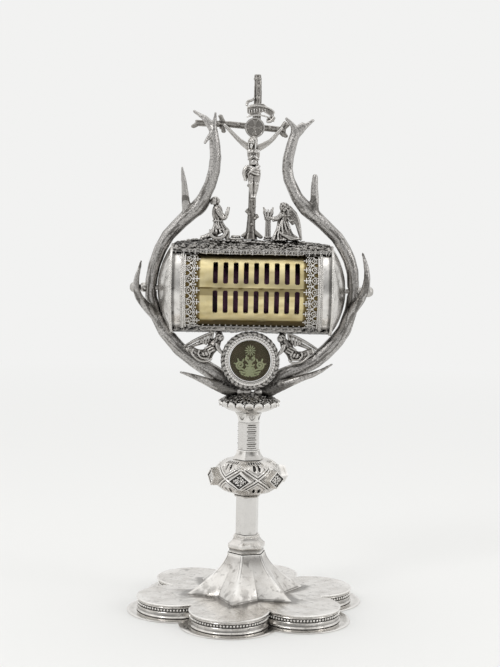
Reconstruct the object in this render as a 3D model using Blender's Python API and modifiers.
"""Reliquary monstrance of hand-raised silver, with a pair of antlers that hold a gilt relic barrel.

Units are metres, +Z is up and the front faces -Y. The origin is under the stem, where the foot stands.
"""

import math

import bmesh
import bpy
import numpy as np
from mathutils import Matrix, Vector

MM = 0.001
GAP = 0.3 * MM            # air left between two pieces that touch
WELD = 0.01 * MM          # points closer than this are one point

# Foot of six lobes, hollow below
LOBES = 6
LOBE_RADIUS = 28.5 * MM
LOBE_REACH_SHARE = 1.93   # lobe centre from the stem, as a share of the lobe's radius
FOOT_TURN = -12.3         # degrees from the front to the middle of the first lobe
FLANGE_LEDGE = 8.9 * MM
FLANGE_THICKNESS = 1.2 * MM
FOOT_HEIGHT = 11.3 * MM
SHEET = 1.1 * MM          # raised silver sheet
PLINTH_SWELL = 0.6 * MM   # moulding round the bottom of the foot's wall
PLINTH_HEIGHT = 1.6 * MM
CONE_HEIGHT = 30.2 * MM
CONE_REACH = 45.8 * MM    # ridge radius of the cone where it leaves the foot
CONE_HOLLOW = 0.655       # middle of a side against the ridge, at the bottom of the cone
CONE_SWEEP = 1.6          # power of the cone's inward curve

# Stem, six-sided, bottom to top
COLLAR_RADIUS = 15.0 * MM
COLLAR_HEIGHT = 13.7 * MM
COLLAR_NECK = 0.8 * MM    # collar's top beyond the stem
COLLAR_BELL = 1.4 * MM
COLLAR_COVE = 1.2 * MM
COLLAR_FOOT = 0.4 * MM
STEM_RADIUS = 9.0 * MM
LOWER_STEM_HEIGHT = 28.2 * MM
LOWER_SKIRT_HEIGHT = 3.0 * MM
UPPER_SKIRT_HEIGHT = 6.7 * MM
SKIRT_SPREAD = 3.8 * MM
SKIRT_NECK = 1.2 * MM     # narrow end of the lower skirt beyond the stem
SKIRT_LAP = 0.5 * MM      # narrow end of the upper skirt beyond the stem
UPPER_STEM_RADIUS = 8.5 * MM
UPPER_STEM_HEIGHT = 20.7 * MM
CAPITAL_HEIGHT = 7.2 * MM
CAPITAL_SPREAD = 2.8 * MM

# Knop with six lozenge boxes
KNOP_RADIUS = 24.5 * MM
KNOP_HEIGHT = 25.4 * MM
BOSS_REACH = 29.6 * MM
BOSS_WIDTH = 17.0 * MM
BOSS_HEIGHT = 13.2 * MM
BOSS_RECESS = 0.8 * MM
BOSS_RIM = 0.9 * MM
PIERCING_RADIUS = 1.5 * MM

# Calyx of scallops and the rough mound in it
CALYX_RADIUS = 23.5 * MM
CALYX_HEIGHT = 9.0 * MM
SCALLOPS = 20
SCALLOP_DEPTH = 1.3 * MM
MOUND_RISE = 5.4 * MM     # flat top of the mound above the calyx's rim
MOUND_TOP_RADIUS = 12.0 * MM
MOUND_LUMP = 0.6 * MM
MOUND_LUMPS = 7

# Relic barrel, lying across the front, on a level axis
TUBE_RADIUS = 29.0 * MM
TUBE_WALL = 1.0 * MM
DISC_LIP = 4.7 * MM       # edge of an end disc beyond the tube
DISC_THICKNESS = 1.6 * MM
DOME_INSET = 1.3 * MM     # foot of a dome inside its disc's edge
DISC_REACH = 60.0 * MM    # outer face of an end disc from the middle
DOME_RISE = 10.4 * MM
BAND_WIDTH = 6.6 * MM
BAND_WALL = 2.1 * MM
COLLAR_WIDTH = 11.4 * MM
COLLAR_WALL = 0.9 * MM
ROPE_WIDTH = 1.8 * MM
ROPE_RISE = 1.7 * MM
CREST_DEPTH = 1.4 * MM
BUNDLE_ROOM = 4.0 * MM    # air over the relic bundle and at its ends
SLOT_COUNT = 9
SLOT_WIDTH = 3.6 * MM
SLOT_PITCH = 7.5 * MM
SLOT_SHIFT = 3.4 * MM     # middle of the rows to the right of the stem
UPPER_SLOT = (0.18, 0.715)    # ends of a slot above the axis, as shares of the tube's radius
LOWER_SLOT = (-0.575, 0.005)

# Ground on top of the barrel, and the bar below it
GROUND_DEPTH = 34.0 * MM
GROUND_EDGE = 3.6 * MM    # height of the ground's front edge above the barrel
GROUND_CREST = 5.1 * MM   # height of its crest above the barrel's ropes
BAR_DEPTH = 24.0 * MM
BAR_DROP = 1.2 * MM       # underside of the bar below the barrel's ropes

# Medallion in front of the antlers' roots
WREATH_LIFT = 2.7 * MM    # air between the mound and the wreath
WREATH_LAP = 2.6 * MM     # wreath's top above the underside of the bar
WREATH_RADIUS = 22.3 * MM
WREATH_WIDTH = 4.0 * MM
WREATH_DEPTH = 5.0 * MM
BEZEL_WIDTH = 2.4 * MM
BEZEL_DEPTH = 4.0 * MM
CRYSTAL_DEPTH = 2.4 * MM
CRYSTAL_SWELL = 0.4 * MM
CRYSTAL_EDGE = 1.2 * MM
RING_CHAMFER = 0.8 * MM

# Antlers, held by a screw with a round knob at each end of the barrel
BEAM_GIRTH = 6.8 * MM     # radius of an antler's beam at its root
CLAMP_ROOM = 5.6 * MM     # beam's middle from the dome, where the screw goes through
ANTLER_RISE = 131.6 * MM  # top of the antlers above the barrel's axis
SHANK_RADIUS = 1.7 * MM
KNOB_RADIUS = 4.1 * MM
KNOB_ROOM = 11.6 * MM     # knob's middle from the beam's middle

# Cross and figures on the ground
CROSS_HEIGHT = 121.6 * MM
CORPUS_HEIGHT = 46.0 * MM
SAINT_HEIGHT = 32.0 * MM
ANGEL_HEIGHT = 28.0 * MM
CHERUB_HEIGHT = 20.0 * MM
PILLAR_HEIGHT = 25.0 * MM
HAT_HEIGHT = 3.0 * MM
HAT_BRIM = 5.3 * MM
SAINT_PLACE = -25.0 * MM  # places of the figures along the barrel
HAT_PLACE = -12.6 * MM
PILLAR_PLACE = 11.3 * MM
ANGEL_PLACE = 23.5 * MM
FIGURE_FORWARD = 1.0 * MM
CHERUB_ROOM = 8.2 * MM    # small angel's middle beyond the wreath
CHERUB_FORWARD = 4.0 * MM

SIX = 6
LOBE_STEPS = 6
LIMB_SIDES = 6
BEAM_SIDES = 8
ROUND_SIDES = 24

# Levels worked out from the sizes above
REACH = LOBE_RADIUS * LOBE_REACH_SHARE
HALF_SECTOR = math.pi / LOBES
CONE_TOP = FOOT_HEIGHT + CONE_HEIGHT
COLLAR_BOTTOM = CONE_TOP + GAP
COLLAR_TOP = COLLAR_BOTTOM + COLLAR_HEIGHT
LOWER_STEM_BOTTOM = COLLAR_TOP + GAP
LOWER_STEM_TOP = LOWER_STEM_BOTTOM + LOWER_STEM_HEIGHT
LOWER_SKIRT_BOTTOM = LOWER_STEM_TOP + GAP
LOWER_SKIRT_TOP = LOWER_SKIRT_BOTTOM + LOWER_SKIRT_HEIGHT
KNOP_BOTTOM = LOWER_SKIRT_TOP + GAP
KNOP_TOP = KNOP_BOTTOM + KNOP_HEIGHT
KNOP_MIDDLE = (KNOP_BOTTOM + KNOP_TOP) / 2
UPPER_SKIRT_BOTTOM = KNOP_TOP + GAP
UPPER_SKIRT_TOP = UPPER_SKIRT_BOTTOM + UPPER_SKIRT_HEIGHT
UPPER_STEM_BOTTOM = UPPER_SKIRT_TOP + GAP
UPPER_STEM_TOP = UPPER_STEM_BOTTOM + UPPER_STEM_HEIGHT
CAPITAL_BOTTOM = UPPER_STEM_TOP + GAP
CAPITAL_TOP = CAPITAL_BOTTOM + CAPITAL_HEIGHT
CALYX_BOTTOM = CAPITAL_TOP + GAP
CALYX_RIM = CALYX_BOTTOM + CALYX_HEIGHT
MOUND_TOP = CALYX_RIM + MOUND_RISE
DISC_RADIUS = TUBE_RADIUS + DISC_LIP
BAND_RADIUS = TUBE_RADIUS + GAP + BAND_WALL
BAND_END = DISC_REACH - DISC_THICKNESS - BAND_WIDTH
COLLAR_END = BAND_END - GAP
COLLAR_TIP = COLLAR_END - COLLAR_WIDTH - ROPE_WIDTH
GROUND_END = DISC_REACH - DISC_THICKNESS - GAP
COLLAR_OUTSIDE = TUBE_RADIUS + GAP + COLLAR_WALL
ROPE_OUTSIDE = COLLAR_OUTSIDE + ROPE_RISE
DOME_APEX = DISC_REACH + DOME_RISE
CLAMP_REACH = DOME_APEX + CLAMP_ROOM
KNOB_REACH = CLAMP_REACH + KNOB_ROOM
BAR_RADIUS = ROPE_OUTSIDE + BAR_DROP
MEDALLION_HEIGHT = MOUND_TOP + WREATH_LIFT + WREATH_RADIUS
BARREL_AXIS = MEDALLION_HEIGHT + WREATH_RADIUS - WREATH_LAP + BAR_RADIUS
GROUND_TOP = BARREL_AXIS + ROPE_OUTSIDE + GROUND_CREST
ANTLER_TOP = BARREL_AXIS + ANTLER_RISE
BUNDLE_RADIUS = TUBE_RADIUS - TUBE_WALL - BUNDLE_ROOM
WREATH_BACK = -BEAM_GIRTH - GAP


def clear_scene():
    """Empties the scene, so that the script gives the same model each time."""
    for thing in list(bpy.data.objects):
        bpy.data.objects.remove(thing, do_unlink=True)
    for group in list(bpy.data.collections):
        bpy.data.collections.remove(group)


def new_material(name, colour, metallic, roughness):
    """Makes a Principled material of one colour."""
    finish = bpy.data.materials.new(name)
    finish.use_nodes = True
    shader = finish.node_tree.nodes["Principled BSDF"]
    shader.inputs["Base Color"].default_value = (*colour, 1.0)
    shader.inputs["Metallic"].default_value = metallic
    shader.inputs["Roughness"].default_value = roughness
    return finish


def place(mesh, name="shape"):
    """Puts a mesh into the scene as an object and returns it."""
    thing = bpy.data.objects.new(name, mesh)
    bpy.context.scene.collection.objects.link(thing)
    return thing


def bake(thing):
    """Turns an object with its modifiers into a plain welded mesh in world space."""
    bpy.context.view_layer.update()
    graph = bpy.context.evaluated_depsgraph_get()
    mesh = bpy.data.meshes.new_from_object(thing.evaluated_get(graph))
    mesh.transform(thing.matrix_world)
    solid = bmesh.new()
    solid.from_mesh(mesh)
    bmesh.ops.remove_doubles(solid, verts=solid.verts, dist=WELD)
    bmesh.ops.dissolve_degenerate(solid, dist=WELD, edges=solid.edges)
    bmesh.ops.recalc_face_normals(solid, faces=solid.faces)
    if solid.calc_volume(signed=True) < 0:
        bmesh.ops.reverse_faces(solid, faces=solid.faces)
    solid.to_mesh(mesh)
    solid.free()
    name = thing.name
    bpy.data.objects.remove(thing, do_unlink=True)
    return place(mesh, name)


def combine(body, tools, operation):
    """Unites or cuts a body with each tool in turn, and removes the tools."""
    for tool in tools:
        step = body.modifiers.new("step", "BOOLEAN")
        step.operation = operation
        step.solver = "EXACT"
        step.object = tool
    body = bake(body)
    for tool in tools:
        bpy.data.objects.remove(tool, do_unlink=True)
    return body


def unite(shapes):
    """Joins overlapping shapes into one body."""
    return combine(shapes[0], shapes[1:], "UNION")


def cut(body, *tools):
    """Takes the tools away from a body."""
    return combine(body, tools, "DIFFERENCE")


def from_bmesh(solid):
    """Makes an object from a bmesh and frees it."""
    mesh = bpy.data.meshes.new("shape")
    solid.to_mesh(mesh)
    solid.free()
    return place(mesh)


def ball(centre, radii, segments=8, rings=6):
    """An ellipsoid, with its poles up and down."""
    solid = bmesh.new()
    bmesh.ops.create_uvsphere(solid, u_segments=segments, v_segments=rings, radius=1.0)
    matrix = Matrix.Translation(centre) @ Matrix.Diagonal((*radii, 1.0))
    bmesh.ops.transform(solid, matrix=matrix, verts=solid.verts)
    return from_bmesh(solid)


def block(lowest, highest):
    """A box between two opposite corners."""
    middle = (Vector(lowest) + Vector(highest)) / 2
    size = Vector(highest) - Vector(lowest)
    solid = bmesh.new()
    bmesh.ops.create_cube(solid, size=1.0)
    matrix = Matrix.Translation(middle) @ Matrix.Diagonal((*size, 1.0))
    bmesh.ops.transform(solid, matrix=matrix, verts=solid.verts)
    return from_bmesh(solid)


def rod(start, end, start_radius, end_radius, sides, turn=0.0):
    """A straight cylinder or tapered prism from one point to another."""
    start = Vector(start)
    axis = Vector(end) - start
    solid = bmesh.new()
    bmesh.ops.create_cone(
        solid, cap_ends=True, segments=sides, radius1=start_radius, radius2=end_radius, depth=axis.length
    )
    lift = Matrix.Translation((0, 0, axis.length / 2))
    aim = axis.to_track_quat("Z", "Y").to_matrix().to_4x4()
    matrix = Matrix.Translation(start) @ aim @ Matrix.Rotation(turn, 4, "Z") @ lift
    bmesh.ops.transform(solid, matrix=matrix, verts=solid.verts)
    return from_bmesh(solid)


def turned(profile, sides, turn=0.0):
    """A turned solid about Z. The profile of (radius, height) runs from top to bottom."""
    mesh = bpy.data.meshes.new("profile")
    points = [(radius, 0.0, height) for radius, height in profile]
    closed = profile[0][0] > 0 and profile[-1][0] > 0
    edges = [(index, index + 1) for index in range(len(points) - 1)]
    if closed:
        edges.append((len(points) - 1, 0))
    mesh.from_pydata(points, edges, [])
    thing = place(mesh)
    screw = thing.modifiers.new("turn", "SCREW")
    screw.steps = sides
    screw.render_steps = sides
    screw.use_merge_vertices = True
    screw.merge_threshold = WELD
    thing.rotation_euler.z = turn
    return bake(thing)


def turned_along_x(profile, sides, side):
    """A turned solid about the barrel's axis, with its top to the left (-1) or right (+1)."""
    thing = turned(profile, sides)
    thing.rotation_euler.y = side * math.pi / 2
    thing.location.z = BARREL_AXIS
    return bake(thing)


def limb(points, sides=LIMB_SIDES, grow=0.0):
    """A rod that bends and tapers through points of (x, y, z, radius)."""
    curve = bpy.data.curves.new("limb", "CURVE")
    curve.dimensions = "3D"
    curve.bevel_depth = MM
    curve.bevel_resolution = (sides - 4) // 2
    curve.use_fill_caps = True
    spline = curve.splines.new("POLY")
    spline.points.add(len(points) - 1)
    for point, (x, y, z, radius) in zip(spline.points, points):
        point.co = (x, y, z, 1.0)
        point.radius = (radius + grow) / MM
    return bake(place(curve))


def plate(outlines, bottom, thickness):
    """A flat plate from closed outlines of (x, y); an outline inside another is a hole."""
    curve = bpy.data.curves.new("plate", "CURVE")
    curve.dimensions = "2D"
    curve.fill_mode = "BOTH"
    curve.extrude = thickness / 2
    for outline in outlines:
        spline = curve.splines.new("POLY")
        spline.points.add(len(outline) - 1)
        spline.use_cyclic_u = True
        for point, (x, y) in zip(spline.points, outline):
            point.co = (x, y, 0.0, 1.0)
    thing = place(curve)
    thing.location.z = bottom + thickness / 2
    return bake(thing)


def sections_mesh(loops, ends):
    """Skins a row of closed loops of as many points each, with ends open, capped or joined."""
    count = len(loops[0])
    points = [tuple(point) for loop in loops for point in loop]
    rows = len(loops) if ends == "joined" else len(loops) - 1
    faces = []
    for row in range(rows):
        low = row * count
        high = (row + 1) % len(loops) * count
        for index in range(count):
            after = (index + 1) % count
            faces.append((low + index, low + after, high + after, high + index))
    if ends == "capped":
        faces.append(tuple(reversed(range(count))))
        faces.append(tuple(range((len(loops) - 1) * count, len(loops) * count)))
    mesh = bpy.data.meshes.new("loft")
    mesh.from_pydata(points, [], faces)
    return mesh


def shell(loops, thickness):
    """An open skin through loops, given a wall on its inner side."""
    thing = place(sections_mesh(loops, "open"))
    wall = thing.modifiers.new("wall", "SOLIDIFY")
    wall.thickness = thickness
    wall.offset = -1.0
    wall.use_even_offset = True
    return bake(thing)


def loft(loops):
    """A closed solid through loops."""
    return bake(place(sections_mesh(loops, "capped")))


def ring_loft(loops):
    """A closed ring whose section runs through the loops and back to the first."""
    return bake(place(sections_mesh(loops, "joined")))


def lobe_angle(index):
    """Direction of a lobe's middle about the stem."""
    return -math.pi / 2 + math.radians(FOOT_TURN) + 2 * HALF_SECTOR * index


def foil_outline(radius):
    """Outline of six overlapping circles."""
    overlap = max(radius ** 2 - (REACH * math.sin(HALF_SECTOR)) ** 2, 0.0)
    notch = REACH * math.cos(HALF_SECTOR) + math.sqrt(overlap)
    half_arc = math.atan2(notch * math.sin(HALF_SECTOR), notch * math.cos(HALF_SECTOR) - REACH)
    outline = []
    for lobe in range(LOBES):
        for step in range(LOBE_STEPS):
            swing = half_arc * (2 * step / LOBE_STEPS - 1)
            flat = Vector((REACH + radius * math.cos(swing), radius * math.sin(swing)))
            flat.rotate(Matrix.Rotation(lobe_angle(lobe), 2))
            outline.append((flat.x, flat.y))
    return outline


def star_outline(ridge, hollow):
    """A star of straight sides, from each ridge to the hollow between two ridges."""
    outline = []
    for corner in range(2 * LOBES):
        radius = ridge if corner % 2 == 0 else ridge * hollow
        angle = lobe_angle(0) + HALF_SECTOR * corner
        outline.append((radius * math.cos(angle), radius * math.sin(angle)))
    return outline


def make_foot():
    """Flange, wall and top of the foot, each a piece of sheet silver."""
    flange = plate(
        [foil_outline(LOBE_RADIUS + FLANGE_LEDGE), foil_outline(LOBE_RADIUS - PLINTH_SWELL)],
        0.0,
        FLANGE_THICKNESS,
    )
    wall_bottom = FLANGE_THICKNESS + GAP
    wall_top = FOOT_HEIGHT - SHEET - GAP
    wall_profile = [
        (PLINTH_SWELL, wall_bottom),
        (-PLINTH_SWELL / 2, wall_bottom + PLINTH_HEIGHT),
        (-PLINTH_SWELL / 2, wall_top),
        (-PLINTH_SWELL / 2 - SHEET, wall_top),
        (-PLINTH_SWELL / 2 - SHEET, wall_bottom),
    ]
    wall_loops = [
        [(x, y, height) for x, y in foil_outline(LOBE_RADIUS + swell)] for swell, height in wall_profile
    ]
    wall = ring_loft(wall_loops)

    cone_loops = []
    hexagon = math.cos(HALF_SECTOR)
    for share in (-0.02, 0.0, 0.1, 0.24, 0.45, 0.72, 1.0):
        level = max(share, 0.0)
        ridge = COLLAR_RADIUS + (CONE_REACH - COLLAR_RADIUS) * (1 - level) ** CONE_SWEEP
        hollow = hexagon + (CONE_HOLLOW - hexagon) * (1 - level) ** 2
        height = FOOT_HEIGHT + CONE_HEIGHT * share
        cone_loops.append([(x, y, height) for x, y in star_outline(ridge, hollow)])
    cone = shell(cone_loops, SHEET)
    mouth = star_outline(CONE_REACH - SHEET / 2, CONE_HOLLOW)
    deck = plate([foil_outline(LOBE_RADIUS), mouth], FOOT_HEIGHT - SHEET, SHEET)
    return {"foot_flange": flange, "foot_wall": wall, "foot_top": unite([deck, cone])}


def make_stem():
    """Six-sided collar, stem tubes, skirts and capital."""
    turn = lobe_angle(0)
    collar = [
        (0, COLLAR_TOP),
        (STEM_RADIUS + COLLAR_NECK, COLLAR_TOP),
        (STEM_RADIUS + COLLAR_BELL, COLLAR_TOP - 0.18 * COLLAR_HEIGHT),
        (COLLAR_RADIUS, COLLAR_BOTTOM + 0.5 * COLLAR_HEIGHT),
        (COLLAR_RADIUS, COLLAR_BOTTOM + 0.32 * COLLAR_HEIGHT),
        (COLLAR_RADIUS - COLLAR_COVE, COLLAR_BOTTOM + 0.26 * COLLAR_HEIGHT),
        (COLLAR_RADIUS - COLLAR_FOOT, COLLAR_BOTTOM),
        (0, COLLAR_BOTTOM),
    ]
    lower_skirt = [
        (0, LOWER_SKIRT_TOP),
        (STEM_RADIUS + SKIRT_SPREAD, LOWER_SKIRT_TOP),
        (STEM_RADIUS + SKIRT_NECK, LOWER_SKIRT_BOTTOM),
        (0, LOWER_SKIRT_BOTTOM),
    ]
    upper_skirt = [
        (0, UPPER_SKIRT_TOP),
        (UPPER_STEM_RADIUS + SKIRT_LAP, UPPER_SKIRT_TOP),
        (UPPER_STEM_RADIUS + SKIRT_SPREAD, UPPER_SKIRT_BOTTOM),
        (0, UPPER_SKIRT_BOTTOM),
    ]
    capital = [
        (0, CAPITAL_TOP),
        (UPPER_STEM_RADIUS + CAPITAL_SPREAD, CAPITAL_TOP),
        (UPPER_STEM_RADIUS + CAPITAL_SPREAD / 4, CAPITAL_BOTTOM + CAPITAL_HEIGHT / 3),
        (UPPER_STEM_RADIUS, CAPITAL_BOTTOM),
        (0, CAPITAL_BOTTOM),
    ]
    lower = rod((0, 0, LOWER_STEM_BOTTOM), (0, 0, LOWER_STEM_TOP), STEM_RADIUS, STEM_RADIUS, SIX, turn)
    upper = rod(
        (0, 0, UPPER_STEM_BOTTOM), (0, 0, UPPER_STEM_TOP), UPPER_STEM_RADIUS, UPPER_STEM_RADIUS, SIX, turn
    )
    return {
        "stem_collar": turned(collar, SIX, turn),
        "stem_lower": lower,
        "knop_skirt_lower": turned(lower_skirt, SIX, turn),
        "knop_skirt_upper": turned(upper_skirt, SIX, turn),
        "stem_upper": upper,
        "capital": turned(capital, SIX, turn),
    }


def make_knop():
    """Swollen knop with six lozenge boxes, and pairs of pierced drops between them."""
    neck = STEM_RADIUS + SKIRT_SPREAD
    profile = [(0, KNOP_TOP)]
    steps = 6
    for step in range(steps + 1):
        share = 1 - 2 * step / steps
        radius = neck + (KNOP_RADIUS - neck) * math.sqrt(1 - share ** 2)
        profile.append((radius, KNOP_MIDDLE + share * KNOP_HEIGHT / 2))
    profile.append((0, KNOP_BOTTOM))
    knop = turned(profile, 18, lobe_angle(0))
    boxes = []
    recesses = []
    drops = []
    for lobe in range(LOBES):
        out = Matrix.Rotation(lobe_angle(lobe), 3, "Z") @ Vector((1, 0, 0))
        middle = Vector((0, 0, KNOP_MIDDLE))
        root = middle + out * (KNOP_RADIUS * 0.7)
        face = middle + out * BOSS_REACH
        box = rod(root, face, 1.25, 1.0, 4)
        recess = rod(face - out * BOSS_RECESS, face + out * BOSS_RECESS, 1.0, 1.0, 4)
        for shape, rim in ((box, 0.0), (recess, BOSS_RIM)):
            widen_lozenge(shape, out, middle, BOSS_WIDTH / 2 - rim, BOSS_HEIGHT / 2 - rim)
        boxes.append(box)
        recesses.append(recess)
        for side in (-1, 1):
            for rise in (-1, 1):
                angle = lobe_angle(lobe) + HALF_SECTOR * (1 + 0.24 * side)
                away = Vector((math.cos(angle), math.sin(angle), 0))
                inner = away * 0.70 * KNOP_RADIUS + Vector((0, 0, KNOP_MIDDLE + rise * 0.22 * KNOP_HEIGHT))
                outer = away * KNOP_RADIUS + Vector((0, 0, KNOP_MIDDLE + rise * 0.48 * KNOP_HEIGHT))
                drops.append(rod(inner, outer, 0.5 * PIERCING_RADIUS, PIERCING_RADIUS * 1.3, 4))
    return {"knop": cut(unite([knop] + boxes), *recesses, *drops)}


def widen_lozenge(thing, out, middle, half_width, half_height):
    """Scales a unit four-sided prism that points outwards to a lozenge of the given half sizes."""
    across = Vector((0, 0, 1)).cross(out)
    for point in thing.data.vertices:
        offset = point.co - middle
        depth = offset.dot(out)
        side = offset.dot(across)
        rise = offset.z
        point.co = middle + out * depth + across * side * half_width + Vector((0, 0, rise * half_height))


def calyx_inside(grow=0.0):
    """Inner profile of the calyx from its floor to its rim, moved inwards by grow."""
    floor = CALYX_BOTTOM + SHEET + grow
    inner = CALYX_RADIUS - SCALLOP_DEPTH - SHEET - grow
    return [
        (0, floor),
        (0.45 * inner, floor),
        (inner, CALYX_BOTTOM + 0.70 * CALYX_HEIGHT + grow),
        (inner, CALYX_RIM),
    ]


def make_calyx():
    """Dish with a rim of scallops."""
    base = UPPER_STEM_RADIUS + CAPITAL_SPREAD
    outer = CALYX_RADIUS - SCALLOP_DEPTH
    outside = [
        (outer, CALYX_RIM),
        (outer, CALYX_BOTTOM + 0.62 * CALYX_HEIGHT),
        (base, CALYX_BOTTOM),
        (0, CALYX_BOTTOM),
    ]
    calyx = turned(calyx_inside() + outside, 2 * SCALLOPS)
    for point in calyx.data.vertices:
        radius = math.hypot(point.co.x, point.co.y)
        if radius > outer - WELD and point.co.z > CALYX_BOTTOM + 0.6 * CALYX_HEIGHT:
            swell = 0.5 + 0.5 * math.cos(SCALLOPS * math.atan2(point.co.y, point.co.x))
            grown = radius + SCALLOP_DEPTH * swell
            point.co.x *= grown / radius
            point.co.y *= grown / radius
            if point.co.z > CALYX_RIM - WELD:
                point.co.z -= SCALLOP_DEPTH * (1 - swell)
    return {"calyx": calyx}


def mound_profile(grow=0.0):
    """Profile of the mound, top to bottom; grow makes it larger all round."""
    inside = calyx_inside(GAP)
    inside.reverse()
    rim_radius = inside[0][0]
    top = MOUND_TOP + grow
    above = [
        (0, top),
        (MOUND_TOP_RADIUS + grow / 2, top),
        (0.86 * rim_radius + grow, CALYX_RIM + 0.5 * MOUND_RISE),
        (rim_radius + grow, CALYX_RIM + grow),
    ]
    return above + [(radius, min(height, CALYX_RIM - GAP)) for radius, height in inside]


def make_mound():
    """Rough ground that fills the calyx, round the antlers' roots."""
    mound = turned(mound_profile(), SCALLOPS)
    for point in mound.data.vertices:
        angle = math.atan2(point.co.y, point.co.x)
        radius = math.hypot(point.co.x, point.co.y)
        if point.co.z > CALYX_RIM and radius > MOUND_TOP_RADIUS / 2:
            point.co.z -= MOUND_LUMP * (1 + math.sin(MOUND_LUMPS * angle)) / 2
    return {"mound": mound}


def antler_point(side, out, back, up, girth):
    """A point of an antler in metres, from shares.

    out is a share of the screw's distance, up goes from 0 at the mound to 1 at the screw
    and 2 at the top, and back and girth are shares of the girth at the root.
    """
    if up < 1:
        height = MOUND_TOP + up * (BARREL_AXIS - MOUND_TOP)
    else:
        height = BARREL_AXIS + (up - 1) * (ANTLER_TOP - BARREL_AXIS)
    return (side * out * CLAMP_REACH, back * BEAM_GIRTH, height, girth * BEAM_GIRTH)


LEFT_BEAM = [
    (0.100, 0.0, 0.00, 1.02), (0.275, 0.0, 0.128, 0.98), (0.421, 0.0, 0.223, 0.82),
    (0.559, 0.0, 0.308, 0.78), (0.700, 0.0, 0.410, 0.74), (0.853, 0.0, 0.580, 0.70),
    (0.940, 0.0, 0.740, 0.64), (0.992, 0.0, 0.920, 0.62), (0.990, 0.0, 1.040, 0.62),
    (0.962, 0.0, 1.130, 0.64), (0.906, 0.0, 1.220, 0.67), (0.830, 0.0, 1.300, 0.68),
    (0.690, -0.1, 1.385, 0.74), (0.562, -0.3, 1.450, 0.78), (0.484, -0.5, 1.515, 0.66),
    (0.424, -0.6, 1.590, 0.63), (0.388, -0.8, 1.665, 0.62), (0.376, -0.9, 1.740, 0.59),
    (0.386, -1.0, 1.820, 0.55), (0.402, -1.2, 1.900, 0.40),
]
LEFT_TINES = [
    [
        (0.640, -0.3, 1.390, 0.58), (0.663, -0.4, 1.500, 0.41), (0.680, -0.5, 1.600, 0.28),
        (0.705, -0.6, 1.690, 0.10),
    ],
    [
        (0.950, -0.3, 0.730, 0.50), (1.030, -0.9, 0.820, 0.48), (1.100, -1.3, 0.910, 0.42),
        (1.132, -1.6, 1.000, 0.35), (1.122, -1.6, 1.060, 0.26), (1.096, -1.6, 1.115, 0.17),
        (1.080, -1.5, 1.157, 0.10),
    ],
    [
        (0.134, -0.3, 0.010, 0.82), (0.272, -0.7, 0.050, 0.63), (0.391, -1.2, 0.098, 0.47),
        (0.488, -1.6, 0.140, 0.34), (0.587, -1.9, 0.177, 0.22), (0.693, -2.2, 0.210, 0.10),
    ],
    [(0.400, -1.15, 1.870, 0.34), (0.387, -1.3, 1.947, 0.22), (0.380, -1.5, 1.994, 0.12)],
    [(0.402, -1.15, 1.885, 0.34), (0.505, -0.9, 1.965, 0.25), (0.605, -0.6, 2.000, 0.14)],
    [(0.400, -1.1, 1.880, 0.28), (0.440, -1.6, 1.855, 0.22), (0.487, -1.9, 1.812, 0.15)],
]
RIGHT_BEAM = [
    (0.110, 0.0, 0.00, 1.02), (0.309, 0.0, 0.159, 0.88), (0.417, 0.0, 0.214, 0.76),
    (0.525, 0.0, 0.255, 0.76), (0.638, 0.0, 0.317, 0.79), (0.735, 0.0, 0.400, 0.81),
    (0.846, 0.0, 0.514, 0.79), (0.925, 0.0, 0.627, 0.74), (0.988, 0.0, 0.822, 0.67),
    (1.005, 0.0, 0.990, 0.61), (0.992, 0.0, 1.110, 0.63), (0.957, 0.0, 1.180, 0.65),
    (0.905, 0.0, 1.240, 0.67), (0.835, 0.0, 1.302, 0.66), (0.720, 0.0, 1.365, 0.66),
    (0.629, -0.1, 1.412, 0.70), (0.518, -0.3, 1.463, 0.76), (0.428, -0.4, 1.525, 0.64),
    (0.343, -0.7, 1.625, 0.57), (0.325, -0.7, 1.683, 0.57), (0.333, -0.7, 1.745, 0.56),
    (0.362, -0.7, 1.820, 0.54), (0.396, -0.7, 1.885, 0.46),
]
RIGHT_TINES = [
    [
        (0.592, -0.3, 1.405, 0.58), (0.600, -0.4, 1.515, 0.46), (0.594, -0.5, 1.590, 0.37),
        (0.600, -0.6, 1.660, 0.26),
    ],
    [
        (0.955, -0.3, 0.760, 0.52), (1.011, -0.7, 0.840, 0.52), (1.074, -1.2, 0.930, 0.46),
        (1.115, -1.5, 1.020, 0.42), (1.125, -1.6, 1.075, 0.35), (1.118, -1.6, 1.130, 0.27),
        (1.097, -1.5, 1.182, 0.19), (1.074, -1.3, 1.224, 0.10),
    ],
    [
        (0.150, -0.3, 0.015, 0.82), (0.310, -0.6, 0.080, 0.60), (0.426, -0.9, 0.128, 0.46),
        (0.524, -1.2, 0.168, 0.35), (0.611, -1.5, 0.198, 0.31), (0.696, -1.8, 0.240, 0.22),
        (0.810, -2.1, 0.315, 0.09),
    ],
    [(0.398, -0.7, 1.865, 0.40), (0.372, -0.9, 1.928, 0.26), (0.296, -1.0, 1.968, 0.16)],
    [(0.404, -0.7, 1.870, 0.38), (0.500, -0.6, 1.928, 0.24), (0.575, -0.4, 1.965, 0.16)],
]


def cap_clearance(side):
    """Room that an end of the barrel needs, for cutting what rests against it."""
    profile = cap_outside(GAP)
    profile.append((0, BAND_END - GAP))
    return turned_along_x(profile, ROUND_SIDES, side)


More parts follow.
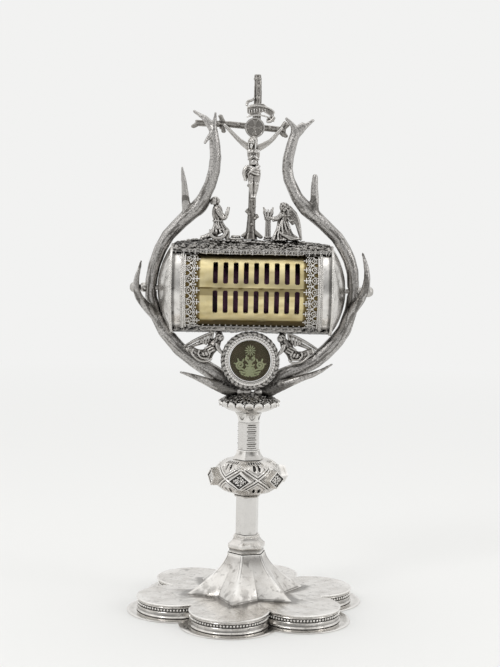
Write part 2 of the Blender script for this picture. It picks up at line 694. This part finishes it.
def make_antler(side, beam_shares, tine_shares):
    """One antler: a bent beam with its tines, notched for the barrel and bored for the screw."""
    beam = limb([antler_point(side, *shares) for shares in beam_shares], BEAM_SIDES)
    tines = [limb([antler_point(side, *shares) for shares in tine]) for tine in tine_shares]
    antler = unite([beam] + tines)
    hole_start = (side * DOME_APEX, 0, BARREL_AXIS)
    hole_end = (side * (KNOB_REACH + KNOB_RADIUS), 0, BARREL_AXIS)
    hole = rod(hole_start, hole_end, SHANK_RADIUS + GAP, SHANK_RADIUS + GAP, 12)
    seat = turned(mound_profile(GAP), 16)
    return cut(antler, hole, seat, cap_clearance(side))


def beam_clearance(side, beam_shares):
    """The lower half of a beam with room round it, for cutting what rests on it."""
    points = [antler_point(side, *shares) for shares in beam_shares[:8]]
    return limb(points, BEAM_SIDES, GAP)


def make_antlers():
    """Both antlers."""
    return {
        "antler_left": make_antler(-1, LEFT_BEAM, LEFT_TINES),
        "antler_right": make_antler(1, RIGHT_BEAM, RIGHT_TINES),
    }


def cap_outside(grow=0.0):
    """Outer profile of an end cap, from the dome's apex to the band's inner end."""
    base = DISC_RADIUS - DOME_INSET
    sphere = (base ** 2 + DOME_RISE ** 2) / (2 * DOME_RISE)
    reach = math.asin(base / sphere)
    steps = 4
    profile = []
    for step in range(steps + 1):
        angle = reach * step / steps
        height = DISC_REACH + DOME_RISE - sphere * (1 - math.cos(angle))
        profile.append((sphere * math.sin(angle), height + grow))
    rim = DISC_RADIUS + grow
    band = BAND_RADIUS + grow
    inner_face = DISC_REACH - DISC_THICKNESS - grow
    profile += [(rim, DISC_REACH + grow), (rim, inner_face), (band, inner_face), (band, BAND_END - grow)]
    return profile


def cap_inside():
    """Inner profile of an end cap, from the band's inner end to the dome's apex."""
    bore = TUBE_RADIUS + GAP
    base = DISC_RADIUS - DOME_INSET
    sphere = (base ** 2 + DOME_RISE ** 2) / (2 * DOME_RISE) - SHEET
    centre = DISC_REACH + DOME_RISE - SHEET - sphere
    reach = math.asin(bore / sphere)
    steps = 2
    profile = [(bore, BAND_END)]
    for step in range(steps, -1, -1):
        angle = reach * step / steps
        profile.append((sphere * math.sin(angle), centre + sphere * math.cos(angle)))
    return profile


def make_barrel():
    """Gilt tube with its slots, the relic bundle in it, end caps, rope and filigree collars."""
    half_length = DISC_REACH - DISC_THICKNESS
    bore = TUBE_RADIUS - TUBE_WALL
    tube = turned_along_x(
        [
            (TUBE_RADIUS, half_length), (TUBE_RADIUS, -half_length), (bore, -half_length),
            (bore, half_length),
        ],
        ROUND_SIDES,
        1,
    )
    slots = []
    for index in range(SLOT_COUNT):
        middle = SLOT_SHIFT + SLOT_PITCH * (index - (SLOT_COUNT - 1) / 2)
        for low, high in (UPPER_SLOT, LOWER_SLOT):
            near = (middle - SLOT_WIDTH / 2, -2 * TUBE_RADIUS, BARREL_AXIS + low * TUBE_RADIUS)
            far = (middle + SLOT_WIDTH / 2, -TUBE_RADIUS / 3, BARREL_AXIS + high * TUBE_RADIUS)
            slots.append(block(near, far))
    nodes = {"reliquary_tube": cut(tube, *slots)}

    rest_height = BARREL_AXIS - bore + BUNDLE_RADIUS + GAP
    length = half_length - BUNDLE_ROOM
    bundle_route = [
        (-length, 0, rest_height, 0.72 * BUNDLE_RADIUS),
        (-0.8 * length, 0, rest_height, 0.95 * BUNDLE_RADIUS),
        (0, 0, rest_height, BUNDLE_RADIUS),
        (0.8 * length, 0, rest_height, 0.95 * BUNDLE_RADIUS),
        (length, 0, rest_height, 0.72 * BUNDLE_RADIUS),
    ]
    nodes["relic_bundle"] = limb(bundle_route, 12)

    for side, word in ((-1, "left"), (1, "right")):
        nodes["end_cap_" + word] = turned_along_x(cap_outside() + cap_inside(), ROUND_SIDES, side)
        bore_radius = TUBE_RADIUS + GAP
        collar = turned_along_x(
            [
                (bore_radius, COLLAR_END),
                (ROPE_OUTSIDE, COLLAR_END),
                (ROPE_OUTSIDE, COLLAR_END - ROPE_WIDTH),
                (COLLAR_OUTSIDE, COLLAR_END - ROPE_WIDTH),
                (COLLAR_OUTSIDE, COLLAR_TIP),
                (bore_radius, COLLAR_TIP),
            ],
            ROUND_SIDES,
            side,
        )
        for point in collar.data.vertices:
            angle = math.atan2(point.co.z - BARREL_AXIS, point.co.y)
            step = round(angle / (2 * math.pi / ROUND_SIDES))
            if abs(abs(point.co.x) - COLLAR_TIP) < WELD and step % 2:
                point.co.x += side * CREST_DEPTH
        nodes["filigree_collar_" + word] = collar

        shank_start = side * (DOME_APEX + GAP)
        knob = ball((side * KNOB_REACH, 0, BARREL_AXIS), (KNOB_RADIUS,) * 3, 10, 6)
        shank = rod(
            (shank_start, 0, BARREL_AXIS), (side * KNOB_REACH, 0, BARREL_AXIS), SHANK_RADIUS, SHANK_RADIUS, 8
        )
        nodes["screw_knob_" + word] = unite([knob, shank])
    return nodes


def ground_height(along, across):
    """Height of the ground's top: a long hill with lumps, falling to its ends and edges.

    along and across run from -1 to 1 over the ground's length and depth.
    """
    edge = BARREL_AXIS + math.sqrt(ROPE_OUTSIDE ** 2 - (GROUND_DEPTH / 2) ** 2) + GROUND_EDGE
    crown = GROUND_TOP - edge
    fall = 1 - 0.38 * abs(along) ** 4
    lumps = 0.045 * math.sin(9 * along + 2) + 0.03 * math.sin(23 * along + 5 * across)
    return edge + crown * (1 - across ** 2) * (fall + lumps * (1 - across ** 2))


def ground_stations():
    """Places along the barrel where the ground and the bar have a section."""
    inner = COLLAR_TIP - GAP
    half = [GROUND_END, inner + GAP, inner, 0.66 * inner, 0.40 * inner, 0.13 * inner]
    return [-station for station in half] + list(reversed(half))


def arc_height(radius, across):
    """Height of a circle about the barrel's axis above that axis, at a distance across."""
    return math.sqrt(radius ** 2 - across ** 2)


def ground_top_row(station, lift):
    """Points over the ground from front to back, lifted by a clearance."""
    along = station / GROUND_END
    return [
        (station, share * GROUND_DEPTH / 2, ground_height(along, share) + lift)
        for share in np.linspace(-1, 1, 7)
    ]


def make_grounds():
    """Ground that carries the figures, and the bar under the barrel."""
    ground_loops = []
    bar_loops = []
    shares = np.linspace(-1, 1, 7)
    for station in ground_stations():
        inside = abs(station) < COLLAR_TIP - GAP / 2
        clear = (TUBE_RADIUS if inside else ROPE_OUTSIDE) + 2 * GAP
        depths = shares * GROUND_DEPTH / 2
        lower = [(station, depth, BARREL_AXIS + arc_height(clear, depth)) for depth in reversed(depths)]
        ground_loops.append(ground_top_row(station, 0.0) + lower)
        depths = shares * BAR_DEPTH / 2
        top = [(station, depth, BARREL_AXIS - arc_height(clear, depth)) for depth in depths]
        under = [(station, depth, BARREL_AXIS - arc_height(BAR_RADIUS, depth)) for depth in depths[::-2]]
        bar_loops.append(top + under)
    socket = rod(
        (0, -BAR_DEPTH, MEDALLION_HEIGHT),
        (0, WREATH_BACK + GAP, MEDALLION_HEIGHT),
        WREATH_RADIUS + GAP,
        WREATH_RADIUS + GAP,
        ROUND_SIDES,
    )
    return {"ground": loft(ground_loops), "bar": cut(loft(bar_loops), socket)}


def ring_facing_front(profile, sides):
    """A turned ring whose axis points to the front, at the medallion's place."""
    thing = turned(profile, sides)
    thing.rotation_euler.x = math.pi / 2
    thing.location.z = MEDALLION_HEIGHT
    return bake(thing)


def make_medallion():
    """Wreath, bezel and the crystal that they hold, with a plaque behind it."""
    back = -WREATH_BACK
    front = back + WREATH_DEPTH
    middle = (back + front) / 2
    hole = WREATH_RADIUS - WREATH_WIDTH
    wreath = [
        (WREATH_RADIUS - RING_CHAMFER, front - RING_CHAMFER),
        (WREATH_RADIUS, middle),
        (WREATH_RADIUS - RING_CHAMFER, back),
        (hole, back),
        (hole, front - RING_CHAMFER),
        (hole + WREATH_WIDTH / 2, front),
    ]
    outside = hole - GAP
    opening = outside - BEZEL_WIDTH
    bezel_front = back + BEZEL_DEPTH
    crystal_back = bezel_front - CRYSTAL_DEPTH
    bezel = [
        (outside, bezel_front - RING_CHAMFER),
        (outside, back),
        (opening, back),
        (opening, bezel_front - RING_CHAMFER / 2),
        (opening + BEZEL_WIDTH / 2, bezel_front),
    ]
    crystal = [
        (0, bezel_front + CRYSTAL_SWELL),
        (0.6 * opening, bezel_front),
        (opening - GAP, bezel_front - CRYSTAL_EDGE),
        (opening - GAP, crystal_back),
        (0, crystal_back),
    ]
    plaque_radius = opening - GAP
    plaque = [(0, crystal_back - GAP), (plaque_radius, crystal_back - GAP), (plaque_radius, back), (0, back)]
    return {
        "medallion_wreath": ring_facing_front(wreath, ROUND_SIDES),
        "medallion_bezel": ring_facing_front(bezel, ROUND_SIDES),
        "medallion_crystal": ring_facing_front(crystal, ROUND_SIDES),
        "medallion_plaque": ring_facing_front(plaque, ROUND_SIDES),
    }


def figure(base, height, limbs, balls=(), mirror=1, grow=0.0):
    """A small cast figure, united from limbs and balls.

    Places and radii are shares of the figure's height; each limb is a list of (x, y, z, radius).
    """
    shapes = []
    for route in limbs:
        points = [
            (base[0] + mirror * x * height, base[1] + y * height, base[2] + z * height, radius * height)
            for x, y, z, radius in route
        ]
        shapes.append(limb(points, grow=grow))
    for (x, y, z), radii in balls:
        centre = (base[0] + mirror * x * height, base[1] + y * height, base[2] + z * height)
        shapes.append(ball(centre, [radius * height for radius in radii]))
    return unite(shapes)


def make_cross(foot_height):
    """Cross of a trunk with lopped branches, its nimbus, scroll and the figure on it."""
    height = CROSS_HEIGHT
    base = (0, 0, foot_height)
    trunk = [
        (-0.013, 0, 0.000, 0.042), (-0.013, 0, 0.040, 0.028), (-0.010, 0, 0.170, 0.020),
        (-0.006, 0, 0.400, 0.020), (-0.002, 0, 0.680, 0.019), (0.018, 0, 0.840, 0.019),
        (0.015, 0, 0.930, 0.020), (0.012, 0, 1.000, 0.019),
    ]
    arm = [
        (-0.362, 0, 0.702, 0.019), (-0.150, 0, 0.697, 0.019), (0.050, 0, 0.680, 0.019),
        (0.188, 0, 0.668, 0.018),
    ]
    stubs = [
        [(-0.010, 0, 0.155, 0.016), (-0.042, -0.004, 0.178, 0.013)],
        [(-0.010, 0, 0.125, 0.016), (0.030, -0.004, 0.145, 0.013)],
        [(-0.008, 0, 0.320, 0.016), (-0.034, -0.004, 0.335, 0.012)],
        [(0.160, 0, 0.668, 0.016), (0.190, 0, 0.716, 0.014)],
        [(0.150, 0, 0.668, 0.016), (0.180, 0, 0.636, 0.013)],
        [(-0.205, 0, 0.700, 0.016), (-0.200, -0.002, 0.730, 0.012)],
        [(-0.195, 0, 0.700, 0.016), (-0.205, -0.002, 0.668, 0.012)],
    ]
    cross = figure(base, height, [trunk, arm] + stubs)
    room = figure(base, height, [trunk, arm], grow=GAP)

    middle = Vector((0, 0, foot_height + 0.678 * height))
    front = 0.021 * height + GAP
    disc = rod(
        middle - Vector((0, front, 0)),
        middle - Vector((0, front + 0.010 * height, 0)),
        0.066 * height,
        0.066 * height,
        8,
        math.pi / 8,
    )

    scroll_path = [
        (-0.048, -0.030, 0.785), (-0.025, -0.034, 0.784), (0.015, -0.030, 0.788), (0.050, -0.034, 0.800),
        (0.085, -0.028, 0.775), (0.122, -0.034, 0.755), (0.096, -0.028, 0.732), (0.070, -0.032, 0.722),
    ]
    half_widths = (0.018, 0.032, 0.034, 0.024, 0.020, 0.016, 0.018, 0.012)
    scroll_loops = []
    for (x, y, z), half in zip(scroll_path, half_widths):
        corners = ((-0.004, -half), (0.004, -half), (0.004, half), (-0.004, half))
        scroll_loops.append(
            [(x * height, (y + dy) * height, foot_height + (z + dz) * height) for dy, dz in corners]
        )
    scroll = loft(scroll_loops)

    size = CORPUS_HEIGHT
    hanging = (0, -0.020 * height - 0.075 * size - GAP, foot_height + 0.255 * height)
    corpus = figure(
        hanging,
        size,
        [
            [
                (-0.01, 0, 0.86, 0.050), (-0.01, 0, 0.815, 0.060), (-0.015, 0, 0.76, 0.105),
                (-0.01, 0, 0.66, 0.100), (-0.008, 0, 0.57, 0.070), (0.0, 0, 0.50, 0.085),
                (-0.01, 0, 0.42, 0.100), (-0.01, 0, 0.30, 0.078),
            ],
            [(-0.04, 0, 0.775, 0.050), (-0.265, 0.02, 0.93, 0.034), (-0.43, 0.055, 1.10, 0.026)],
            [(0.02, 0, 0.775, 0.050), (0.270, 0.02, 0.92, 0.034), (0.39, 0.055, 1.07, 0.026)],
            [
                (-0.05, -0.01, 0.40, 0.062), (-0.03, -0.04, 0.22, 0.050), (-0.01, -0.01, 0.06, 0.034),
                (0.0, -0.03, 0.01, 0.03),
            ],
            [
                (0.045, -0.012, 0.41, 0.060), (0.035, -0.03, 0.23, 0.048), (0.02, -0.018, 0.08, 0.036),
                (0.012, -0.045, -0.01, 0.03),
            ],
            [(-0.05, -0.02, 0.45, 0.045), (-0.14, -0.025, 0.38, 0.042), (-0.135, -0.02, 0.26, 0.026)],
        ],
        [((-0.015, -0.02, 0.905), (0.070, 0.075, 0.085))],
    )
    return {"cross": cross, "nimbus": disc, "scroll": scroll, "corpus": cut(corpus, room)}


def ground_level(x):
    """Height of the ground along its crest."""
    return ground_height(x / GROUND_END, 0.0)


def ground_clearance():
    """The ground with room above it, for cutting what stands on it."""
    loops = []
    for station in ground_stations():
        top = ground_top_row(station, GAP)
        loops.append(top + [(station, depth, BARREL_AXIS) for _, depth, _ in reversed(top)])
    return loft(loops)


def make_saint():
    """Kneeling figure with joined hands, on a curved horn, with a hat beside it."""
    size = SAINT_HEIGHT
    saint = figure(
        (SAINT_PLACE, -FIGURE_FORWARD, ground_level(SAINT_PLACE)),
        size,
        [
            [
                (-0.08, 0, 0.83, 0.05), (-0.06, 0, 0.73, 0.10), (-0.05, 0, 0.58, 0.105),
                (-0.02, 0, 0.42, 0.075), (0.0, 0, 0.31, 0.11), (0.01, 0, 0.22, 0.155),
            ],
            [
                (-0.04, -0.08, 0.70, 0.052), (0.11, -0.11, 0.50, 0.048), (0.17, -0.08, 0.62, 0.036),
                (0.205, -0.05, 0.76, 0.025),
            ],
            [
                (-0.04, 0.08, 0.70, 0.052), (0.11, 0.09, 0.50, 0.048), (0.17, 0.04, 0.62, 0.036),
                (0.20, -0.02, 0.74, 0.025),
            ],
            [(0.02, -0.02, 0.28, 0.09), (0.15, -0.02, 0.22, 0.07), (0.17, -0.02, 0.04, 0.05)],
            [
                (0.0, 0.04, 0.22, 0.09), (-0.16, 0.05, 0.12, 0.075), (-0.30, 0.06, 0.05, 0.055),
                (-0.42, 0.06, 0.02, 0.045),
            ],
            [(-0.20, -0.04, 0.22, 0.040), (-0.165, -0.09, 0.09, 0.042), (-0.03, -0.11, 0.03, 0.045),
             (0.12, -0.09, 0.08, 0.045), (0.19, -0.04, 0.24, 0.035)],
        ],
        [((-0.10, 0, 0.90), (0.092, 0.092, 0.105))],
    )
    level = ground_level(HAT_PLACE)
    base = (HAT_PLACE, 0, level - HAT_HEIGHT / 3)
    crown = rod(base, (HAT_PLACE, 0, level + HAT_HEIGHT), 0.8 * HAT_BRIM, 0.66 * HAT_BRIM, 10)
    brim = rod(base, (HAT_PLACE, 0, level + HAT_HEIGHT / 3), HAT_BRIM, HAT_BRIM, 10)
    return {
        "kneeling_saint": cut(saint, ground_clearance()),
        "hat": cut(unite([crown, brim]), ground_clearance()),
    }


def make_angel():
    """Kneeling angel with one wing showing, and the pillar that it holds."""
    size = ANGEL_HEIGHT
    angel = figure(
        (ANGEL_PLACE, -FIGURE_FORWARD, ground_level(ANGEL_PLACE)),
        size,
        [
            [
                (-0.03, 0, 0.80, 0.06), (-0.035, 0, 0.72, 0.11), (-0.05, 0, 0.55, 0.11),
                (-0.05, 0, 0.40, 0.09), (-0.02, 0, 0.23, 0.20), (0.0, 0, 0.02, 0.30),
            ],
            [(-0.08, -0.08, 0.70, 0.055), (-0.22, -0.12, 0.56, 0.045), (-0.32, -0.10, 0.54, 0.035)],
            [(0.03, 0, 0.14, 0.16), (0.22, 0, 0.08, 0.12), (0.38, 0, 0.02, 0.07)],
            [
                (0.05, 0.08, 0.78, 0.06), (0.14, 0.09, 0.90, 0.05), (0.26, 0.09, 0.72, 0.085),
                (0.37, 0.07, 0.40, 0.065), (0.46, 0.05, 0.04, 0.03),
            ],
            [(0.06, 0.08, 0.74, 0.09), (0.18, 0.09, 0.62, 0.12), (0.27, 0.09, 0.46, 0.08)],
        ],
        [((-0.02, -0.01, 0.885), (0.115, 0.115, 0.125))],
    )
    level = ground_level(PILLAR_PLACE)
    height = PILLAR_HEIGHT
    pillar_profile = [
        (0, level + 0.86 * height),
        (0.130 * height, level + 0.86 * height),
        (0.130 * height, level + 0.76 * height),
        (0.065 * height, level + 0.70 * height),
        (0.065 * height, level + 0.12 * height),
        (0.110 * height, level + 0.08 * height),
        (0.110 * height, level - 0.06 * height),
        (0, level - 0.06 * height),
    ]
    pillar = turned(pillar_profile, 8)
    pillar.location.x = PILLAR_PLACE
    pillar = bake(pillar)
    horns = [
        rod(
            (PILLAR_PLACE + side * 0.09 * height, 0, level + 0.80 * height),
            (PILLAR_PLACE + side * 0.14 * height, 0, level + height),
            0.045 * height,
            0.02 * height,
            6,
        )
        for side in (-1, 1)
    ]
    return {
        "kneeling_angel": cut(angel, ground_clearance()),
        "pillar": cut(unite([pillar] + horns), ground_clearance()),
    }


def make_cherub(side, beam_shares):
    """Small winged angel that kneels on an antler and steadies the wreath."""
    size = CHERUB_HEIGHT
    place_along = side * (WREATH_RADIUS + CHERUB_ROOM)
    base = (place_along, -CHERUB_FORWARD, BARREL_AXIS - BAR_RADIUS - GAP - size)
    cherub = figure(
        base,
        size,
        [
            [(-0.37, 0, 0.74, 0.07), (-0.30, 0, 0.62, 0.13), (-0.20, 0, 0.48, 0.15), (-0.06, 0, 0.32, 0.14),
             (0.02, 0, 0.14, 0.17), (0.26, 0, 0.20, 0.14), (0.60, 0, 0.36, 0.07)],
            [(-0.28, -0.12, 0.60, 0.065), (-0.38, -0.18, 0.40, 0.055), (-0.425, -0.20, 0.33, 0.045)],
            [
                (-0.28, 0.05, 0.60, 0.08), (-0.05, 0.10, 0.74, 0.09), (0.35, 0.12, 0.64, 0.085),
                (0.86, 0.08, 0.43, 0.03),
            ],
        ],
        [((-0.41, -0.02, 0.845), (0.125, 0.125, 0.135))],
        mirror=side,
    )
    return cut(cherub, beam_clearance(side, beam_shares))


def make_cherubs():
    """Both small angels."""
    return {
        "angel_left": make_cherub(-1, LEFT_BEAM),
        "angel_right": make_cherub(1, RIGHT_BEAM),
    }


SILVER = ("polished_silver", (0.58, 0.56, 0.54), 1.0, 0.24)
DARK_SILVER = ("oxidised_silver", (0.14, 0.13, 0.125), 0.9, 0.45)
ANTLER_SILVER = ("patinated_antler_silver", (0.22, 0.20, 0.185), 0.9, 0.42)
GILT = ("satin_gilt_silver", (0.58, 0.44, 0.15), 1.0, 0.34)
CLOTH = ("purple_relic_cloth", (0.03, 0.005, 0.022), 0.0, 0.9)
CRYSTAL = ("crystal_over_plaque", (0.10, 0.10, 0.07), 0.0, 0.1)
PLAQUE = ("painted_plaque", (0.05, 0.05, 0.03), 0.0, 0.6)

FINISHES = {
    "antler": ANTLER_SILVER,
    "mound": DARK_SILVER,
    "ground": DARK_SILVER,
    "bar": DARK_SILVER,
    "medallion_wreath": DARK_SILVER,
    "medallion_crystal": CRYSTAL,
    "medallion_plaque": PLAQUE,
    "angel": DARK_SILVER,
    "cross": DARK_SILVER,
    "nimbus": DARK_SILVER,
    "scroll": DARK_SILVER,
    "corpus": DARK_SILVER,
    "kneeling": DARK_SILVER,
    "hat": DARK_SILVER,
    "pillar": DARK_SILVER,
    "reliquary_tube": GILT,
    "relic_bundle": CLOTH,
}


def finish_for(name):
    """The finish whose key begins the piece's name, or else bright silver."""
    for start, finish in FINISHES.items():
        if name.startswith(start):
            return finish
    return SILVER


def main():
    """Builds every piece, names it and gives it its own material."""
    clear_scene()
    nodes = {}
    nodes.update(make_foot())
    nodes.update(make_stem())
    nodes.update(make_knop())
    nodes.update(make_calyx())
    nodes.update(make_mound())
    nodes.update(make_antlers())
    nodes.update(make_barrel())
    nodes.update(make_grounds())
    nodes.update(make_medallion())
    nodes.update(make_cherubs())
    nodes.update(make_cross(ground_level(0.0) + GAP))
    nodes.update(make_saint())
    nodes.update(make_angel())

    parts = bpy.data.collections.new("reliquary_monstrance")
    bpy.context.scene.collection.children.link(parts)
    for name, piece in nodes.items():
        bpy.context.scene.collection.objects.unlink(piece)
        parts.objects.link(piece)
        piece.name = name
        piece.data.name = name
        finish_name, colour, metallic, roughness = finish_for(name)
        piece.data.materials.clear()
        piece.data.materials.append(new_material(name + "_" + finish_name, colour, metallic, roughness))
        piece.data.set_sharp_from_angle(angle=math.radians(35))


main()
